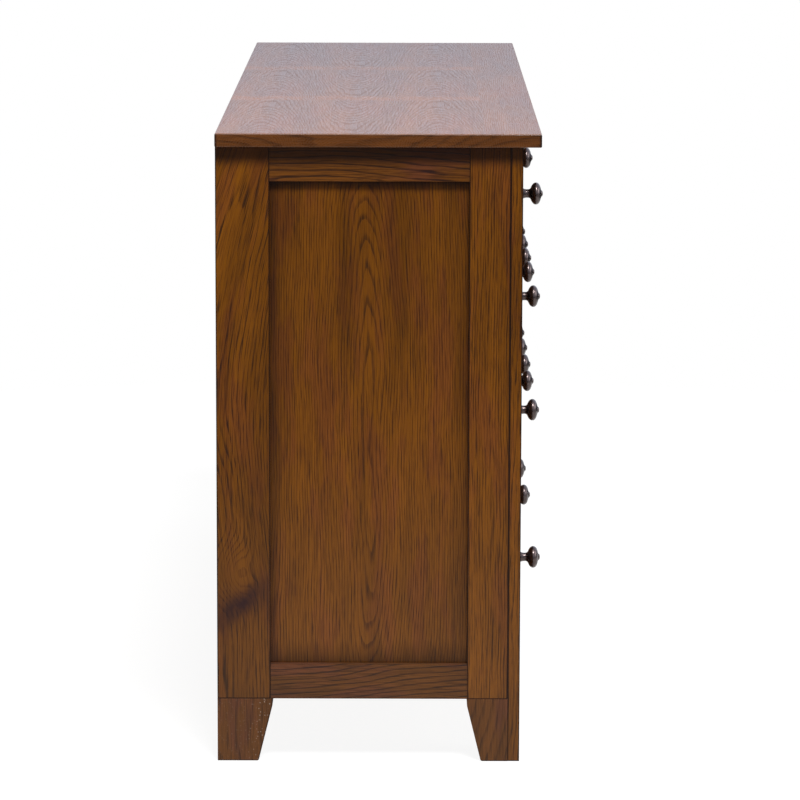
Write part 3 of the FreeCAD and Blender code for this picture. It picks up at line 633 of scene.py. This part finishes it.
def make_ends():
    """Posts, stiles, rails, panels and feet. Only the left back post has a knot."""
    front_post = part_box("front_post_left")
    back_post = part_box("back_post_left")
    foot_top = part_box("feet")[1][2]
    opening = ((0, front_post[1][1], foot_top + SIDE_BOTTOM_RAIL),
               (0, back_post[0][1], back_post[1][2] - SIDE_TOP_RAIL))

    # The glaze round the panels, with painted shade in their recess
    def glaze_and_shade(tree, colour):
        return round_glaze_and_shade(tree, colour, opening)

    for number, side in enumerate(("left", "right")):
        seed = 11.0 + number
        has_knot = side == "left"
        wood(f"back_post_{side}", "YXZ", seed, pith=(0.055, 0.07), bow=STRAIGHT,
             knot=knot if has_knot else None, lift=(0.79, 1.12), fold=leaning,
             extra=(knot_stain, shade_and_grime_under_top) if has_knot else (shade_and_grime_under_top,))
        wood(f"front_post_{side}", "YXZ", seed + 3, pith=(-0.10, 0.05), bow=STRAIGHT,
             extra=(shade_and_grime_under_top,), lift=(1.10, 1.10))
        wood(f"front_stile_{side}", "XYZ", seed + 6, pith=(0.02, 0.05), bow=(0.05, 0.0, 0.0),
             extra=(shade_and_grime_under_top,), lift=(1.10, 1.00))
        wood(f"side_panel_{side}", "YXZ", seed + 9, pith=(0.002, 0.012), bow=(0.0, 0.22, -0.03),
             edges=False, lift=(1.06, 0.93), contrast=0.98, broken=0.45, extra=(glaze_and_shade,))
    wood("side_rails", "ZXY", 31.0, tones=OAK_RED, pith=(0.05, 0.04), bow=SLANTING,
         edges=False, extra=(shade_and_grime_under_top,), lift=(0.86, 0.98), broken=0.2, contrast=1.20,
         early_share=0.30)
    wood("feet", "YXZ", 37.0, tones=OAK_RED, pith=(0.05, 0.08), bow=STRAIGHT,
         edges=False, contrast=0.85, extra=(foot_wear,))


def make_front():
    """The rails and uprights of the front frame."""
    for name, axes, seed, edges in (("front_top_rail", "ZYX", 41.0, True),
                                    ("front_bottom_rail", "ZYX", 43.0, True),
                                    ("centre_stile", "XYZ", 45.0, True),
                                    ("front_divider_rails", "ZYX", 47.0, False),
                                    ("small_dividers", "XYZ", 49.0, False)):
        wood(name, axes, seed, pith=(0.02, 0.06), bow=SLANTING, edges=edges)


# Back and inside
STAPLE_PITCH = 0.11
STAPLE_INSET = 0.010
STAPLE_HALF = 0.0055
STAPLE_WIRE = 0.0006
WEB_RAIL = 0.0602


def swap(tree, here, chosen, **others):
    """The same point with some of its axes replaced where chosen is 1."""
    moved = dict(here)
    for axis, other in others.items():
        change = tree.minus(here[other], here[axis])
        moved[axis] = tree.plus(here[axis], tree.times(change, chosen))
    return moved


def web_fold(tree, here):
    """Back rails of the web frames run along X, their runners from front to back."""
    back = tree.above(here["Y"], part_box("web_frames")[1][1] - WEB_RAIL)
    return swap(tree, here, back, X="Y", Y="X")


def staples(tree, colour):
    """Heads of the staples that hold the back panel, in a row near its edges."""
    low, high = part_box("back_panel")
    x, _, z = tree.place()

    def from_staple(part):
        share = tree.math("PINGPONG", tree.math("DIVIDE", part, STAPLE_PITCH), 0.5)
        return tree.times(share, STAPLE_PITCH)

    in_z = tree.least(tree.minus(z, low.z), tree.minus(high.z, z))
    in_x = tree.minus(high.x, tree.off(x, 0.0))
    for part, edge in ((x, in_z), (z, in_x)):
        head = tree.times(tree.below(from_staple(part), STAPLE_HALF),
                          tree.below(tree.off(edge, STAPLE_INSET), STAPLE_WIRE))
        colour = tree.blend(head, colour, STAPLE)
    return colour


def make_inside():
    """The back panel and the members that show only from behind or with a drawer out."""
    for name, axes, seed, tones, more in (
            ("back_panel", "XYZ", 61.0, INNER, {"extra": (staples,)}),
            ("back_rails", "ZYX", 63.0, INNER, {}),
            ("centre_partition", "YXZ", 65.0, INNER, {}),
            ("web_frames", "XZY", 67.0, PALE, {"fold": web_fold}),
            ("drawer_guides", "XZY", 69.0, PALE, {}),
            ("top_cleats", "XZY", 71.0, INNER, {}),
            ("corner_blocks", "XYZ", 73.0, INNER, {})):
        wood(name, axes, seed, tones=tones, pith=(0.02, 0.10), bow=SLANTING, gloss=0.55,
             edges=False, tint=HONEY, **more)


# Drawers
BOARD = 0.012
BOARD_FOLD = 0.0122
GROOVE_TOP = 0.0145
TAIL_COUNT = 3
PIN_HALF = 0.003
PIN_FLARE = 0.002
PIN_TONE = 0.45
PIN_EDGE = (0.0002, 0.0006, (0.8, 0.0))


def drawer_names():
    """The twelve drawers, by the names that their nodes start with."""
    return sorted({name.rsplit("_", 1)[0] for name in nodes if name.startswith("row")})


def box_fold(low, high):
    """Grain of a drawer box: its sides from front to back, its front, back and bottom across."""
    def fold(tree, here):
        away = tree.off(here["X"], (low[0] + high[0]) / 2)
        inside = tree.below(away, (high[0] - low[0]) / 2 - BOARD_FOLD)
        low_down = tree.below(here["Z"], low[2] + GROOVE_TOP)
        ends = tree.most(tree.below(here["Y"], low[1] + BOARD_FOLD),
                         tree.above(here["Y"], high[1] - BOARD_FOLD))
        bottom = tree.times(inside, low_down, tree.minus(1.0, ends))
        not_bottom = tree.minus(1.0, bottom)
        turned = swap(tree, here, tree.times(inside, not_bottom), X="Y", Y="X")
        flat = swap(tree, here, bottom, X="Z", Y="X", Z="Y")
        return {axis: tree.plus(tree.times(flat[axis], bottom),
                                tree.times(turned[axis], not_bottom)) for axis in AXES}
    return fold


def dovetails(low, high):
    """End grain and joint lines of the pins that show in the front corners of a drawer box."""
    def pins(tree, colour):
        x, y, z = tree.place()
        pitch = (high[2] - low[2]) / TAIL_COUNT
        share = tree.math("DIVIDE", tree.minus(z, low[2]), pitch)
        away = tree.times(tree.math("PINGPONG", share, 0.5), pitch)
        depth = tree.math("DIVIDE", tree.minus(y, low[1]), BOARD)
        over = tree.minus(away, tree.plus(PIN_HALF, tree.times(depth, PIN_FLARE)))
        outside = tree.above(tree.off(x, (low[0] + high[0]) / 2),
                             (high[0] - low[0]) / 2 - BOARD / 8)
        corner = tree.times(tree.below(depth, 1.0), outside)
        pin = tree.times(corner, tree.below(over, 0.0), PIN_TONE)
        colour = tree.blend(pin, colour, PIN_END)
        line = tree.fade(tree.off(over, 0.0), *PIN_EDGE)
        return tree.blend(tree.times(corner, line), colour, PIN_LINE)
    return pins


def make_drawers():
    """Each front from another part of the tree, and each box of pale wood."""
    for number, drawer in enumerate(drawer_names()):
        wood(f"{drawer}_front", "ZYX", 80.0 + 1.7 * number,
             pith=(0.01 - 0.004 * (number % 4), 0.03 + 0.006 * (number % 3)),
             bow=(0.02, 0.16, 0.05 * (number % 3 - 1)))
        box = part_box(f"{drawer}_box")
        wood(f"{drawer}_box", "ZXY", 120.0 + number, tones=PALE, pith=(0.02, 0.12),
             bow=STRAIGHT, gloss=0.55, edges=False, fold=box_fold(*box), contrast=0.6,
             tint=HONEY, extra=(dovetails(*box),))


# Eased edges
EASE_WIDTH = 0.0006
EASE_ANGLE = math.radians(35)
WELD_GAP = 1e-5
EASED = ("side_panel_left", "side_panel_right", "back_post_left", "back_post_right",
         "front_post_left", "front_post_right", "front_stile_left", "front_stile_right",
         "side_rails", "feet", "front_top_rail", "front_bottom_rail", "centre_stile",
         "front_divider_rails", "small_dividers")


def ease_edges():
    """Rounds the sharp edges of the case a little, as sanded boards have them."""
    for name in EASED:
        weld = nodes[name].modifiers.new("weld", "WELD")
        weld.merge_threshold = WELD_GAP
        bevel = nodes[name].modifiers.new("ease", "BEVEL")
        bevel.width = EASE_WIDTH
        bevel.segments = 2
        bevel.limit_method = "ANGLE"
        bevel.angle_limit = EASE_ANGLE


# Metal
MOTTLE_PLACES = (0.30, 0.70)
RUBBED_RIM = (0.50, 0.58, (0.0, 0.7))
BRONZE = ((0.048, 0.034, 0.032), (0.100, 0.073, 0.066))
BRONZE_RUBBED = (0.17, 0.13, 0.125)
STEEL = ((0.34, 0.32, 0.28), (0.52, 0.50, 0.45))


def metal(name, grain, detail, tones, roughness, relief, rubbed=None, **constants):
    """A mottled metal, brighter on its rims where a rubbed colour is given. Its relief is the
    depth and the strength of its bump."""
    tree = Tree(bpy.data.materials.new(name))
    mottle = tree.noise(tree.scaled(tree.place(), (grain, grain, grain)), detail, 0.6)
    colour = tree.ramp(mottle, *zip(MOTTLE_PLACES, tones))
    if rubbed:
        rim = tree.node("NewGeometry").outputs["Pointiness"]
        colour = tree.blend(tree.fade(rim, *RUBBED_RIM), colour, rubbed)
    return tree.finish(colour, tree.fade(mottle, *MOTTLE_PLACES, roughness),
                       tree.bump(mottle, *relief), Metallic=1.0, **constants)


def place_piece(name, mesh, place, drawer):
    """A piece with a shared mesh at a place of the frame, riding on a drawer."""
    piece = bpy.data.objects.new(name, mesh)
    scene.collection.objects.link(piece)
    piece.location = place
    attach(piece, f"drawer_{drawer}")
    return piece


def circle(turns, radius):
    """Points round a circle, as places along X and Z."""
    for number in range(turns):
        angle = 2 * math.pi * number / turns
        yield radius * math.cos(angle), radius * math.sin(angle)


# Knobs, in millimetres: radius and reach of the outline's first points at the rose, and then
# the control point, the end point and the number of steps of each curve up to the tip
MM = 0.001
KNOB_TURNS = 48
KNOB_ROSE = ((0.0, 0.0), (14.1, 0.0), (14.5, 0.4), (14.5, 1.2))
KNOB_CURVES = (((14.3, 1.9), (13.2, 2.2), 3), ((7.2, 3.4), (6.3, 9.0), 7),
               ((5.9, 12.0), (6.3, 14.2), 4), ((7.0, 16.0), (9.8, 17.0), 4),
               ((13.8, 18.6), (15.4, 21.6), 6), ((16.0, 22.9), (16.0, 24.3), 3),
               ((15.9, 26.8), (13.4, 28.6), 6), ((11.6, 29.9), (8.0, 30.8), 5),
               ((5.2, 31.4), (4.4, 32.3), 4), ((3.8, 34.0), (0.0, 34.0), 6))


def bend(start, control, end, steps):
    """Points of a curve from start to end, pulled towards control, without its start."""
    for number in range(1, steps + 1):
        share = number / steps
        yield tuple((1 - share) ** 2 * a + 2 * share * (1 - share) * b + share ** 2 * c
                    for a, b, c in zip(start, control, end))


def knob_outline():
    """Radius and reach of the turned knob, from the rose to the tip."""
    outline = list(KNOB_ROSE)
    for control, end, steps in KNOB_CURVES:
        outline += bend(outline[-1], control, end, steps)
    return outline


def lathe(name, outline):
    """A turned solid round its own -Y axis."""
    mesh = bpy.data.meshes.new(name)
    work = bmesh.new()
    rings = []
    for radius, reach in outline:
        around = circle(KNOB_TURNS, radius * MM) if radius else [(0, 0)]
        rings.append([work.verts.new((x, -reach * MM, z)) for x, z in around])
    for first, second in zip(rings, rings[1:]):
        for number in range(KNOB_TURNS):
            after = (number + 1) % KNOB_TURNS
            corners = [first[number % len(first)], first[after % len(first)],
                       second[after % len(second)], second[number % len(second)]]
            work.faces.new(list(dict.fromkeys(corners)))
    bmesh.ops.recalc_face_normals(work, faces=work.faces)
    for face in work.faces:
        face.smooth = True
    work.to_mesh(mesh)
    work.free()
    return mesh


def knob_node(drawer):
    return next(name for name in (f"{drawer}_knobs", f"{drawer}_knob") if name in nodes)


def knob_spots(drawer):
    """Where the axes of a drawer's knobs are, along X and Z."""
    low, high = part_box(knob_node(drawer))
    radius = (high.z - low.z) / 2
    return [(x, (low.z + high.z) / 2)
            for x in sorted({round(low.x + radius, 3), round(high.x - radius, 3)})]


def make_knobs():
    """Turned knobs of dark bronze, rubbed brighter where fingers touch them."""
    mesh = lathe("knob", knob_outline())
    mesh.materials.append(metal("dark_bronze", grain=160, detail=4.0, tones=BRONZE,
                                roughness=(0.26, 0.40), relief=(0.0002, 0.25),
                                rubbed=BRONZE_RUBBED, Coat_Weight=0.4, Coat_Roughness=0.25))
    for drawer in drawer_names():
        for number, (x, z) in enumerate(knob_spots(drawer), start=1):
            piece = place_piece(f"{drawer}_pull_{number}", mesh,
                                (x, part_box(knob_node(drawer))[1].y, z), drawer)
            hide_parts(knob_node(drawer))


# Bolts
BOLT_RADIUS = 0.0048
BOLT_RISE = 0.0020
BOLT_TURNS = 24
# Share of the radius and of the rise at each ring of the head
BOLT_STEPS = ((1.0, 0.0), (1.0, 0.3), (0.94, 0.55), (0.78, 0.82), (0.55, 0.96))
SLOT_HALF = 0.0030
SLOT_WIDTH = 0.0009
SLOT_FLOOR = 0.3
SLOT_TAPER = 0.8


def bolt_head():
    """A low-domed head with a cross recess, facing +Y, its seat at the origin."""
    mesh = bpy.data.meshes.new("bolt_head")
    work = bmesh.new()
    rings = [[work.verts.new((x, BOLT_RISE * rise, z))
              for x, z in circle(BOLT_TURNS, BOLT_RADIUS * share)] for share, rise in BOLT_STEPS]
    for first, second in zip(rings, rings[1:]):
        for turn in range(BOLT_TURNS):
            after = (turn + 1) % BOLT_TURNS
            work.faces.new((first[turn], first[after], second[after], second[turn])).smooth = True
    arm, half = SLOT_HALF, SLOT_WIDTH / 2
    cross = [(arm, half), (half, half), (half, arm), (-half, arm), (-half, half), (-arm, half),
             (-arm, -half), (-half, -half), (-half, -arm), (half, -arm), (half, -half),
             (arm, -half)]
    rim = [work.verts.new((x, BOLT_RISE, z)) for x, z in cross]
    floor = [work.verts.new((x * SLOT_TAPER, BOLT_RISE * SLOT_FLOOR, z * SLOT_TAPER))
             for x, z in cross]
    for number in range(len(rim)):
        after = (number + 1) % len(rim)
        work.faces.new((rim[number], rim[after], floor[after], floor[number]))
    edges = []
    for loop in (rings[-1], rim):
        for ends in zip(loop, loop[1:] + loop[:1]):
            edges.append(work.edges.get(ends) or work.edges.new(ends))
    bmesh.ops.triangle_fill(work, edges=edges, use_beauty=True)
    work.faces.new(floor)
    work.faces.new(rings[0])
    bmesh.ops.recalc_face_normals(work, faces=work.faces)
    work.to_mesh(mesh)
    work.free()
    return mesh


def make_bolts():
    """The bolt of each knob in dull plated steel, with its head inside the drawer."""
    mesh = bolt_head()
    mesh.materials.append(metal("plated_steel", grain=300, detail=3.0, tones=STEEL,
                                roughness=(0.30, 0.48), relief=(0.0001, 0.2)))
    for drawer in drawer_names():
        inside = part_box(f"{drawer}_box")[0][1] + BOARD
        for number, (x, z) in enumerate(knob_spots(drawer), start=1):
            place_piece(f"{drawer}_bolt_{number}", mesh, (x, inside, z), drawer)


make_camera()
make_light()
make_sky()
make_floor()
make_top()
make_ends()
make_front()
make_inside()
make_drawers()
make_knobs()
make_bolts()
ease_edges()
scene.view_settings.view_transform = "Standard"
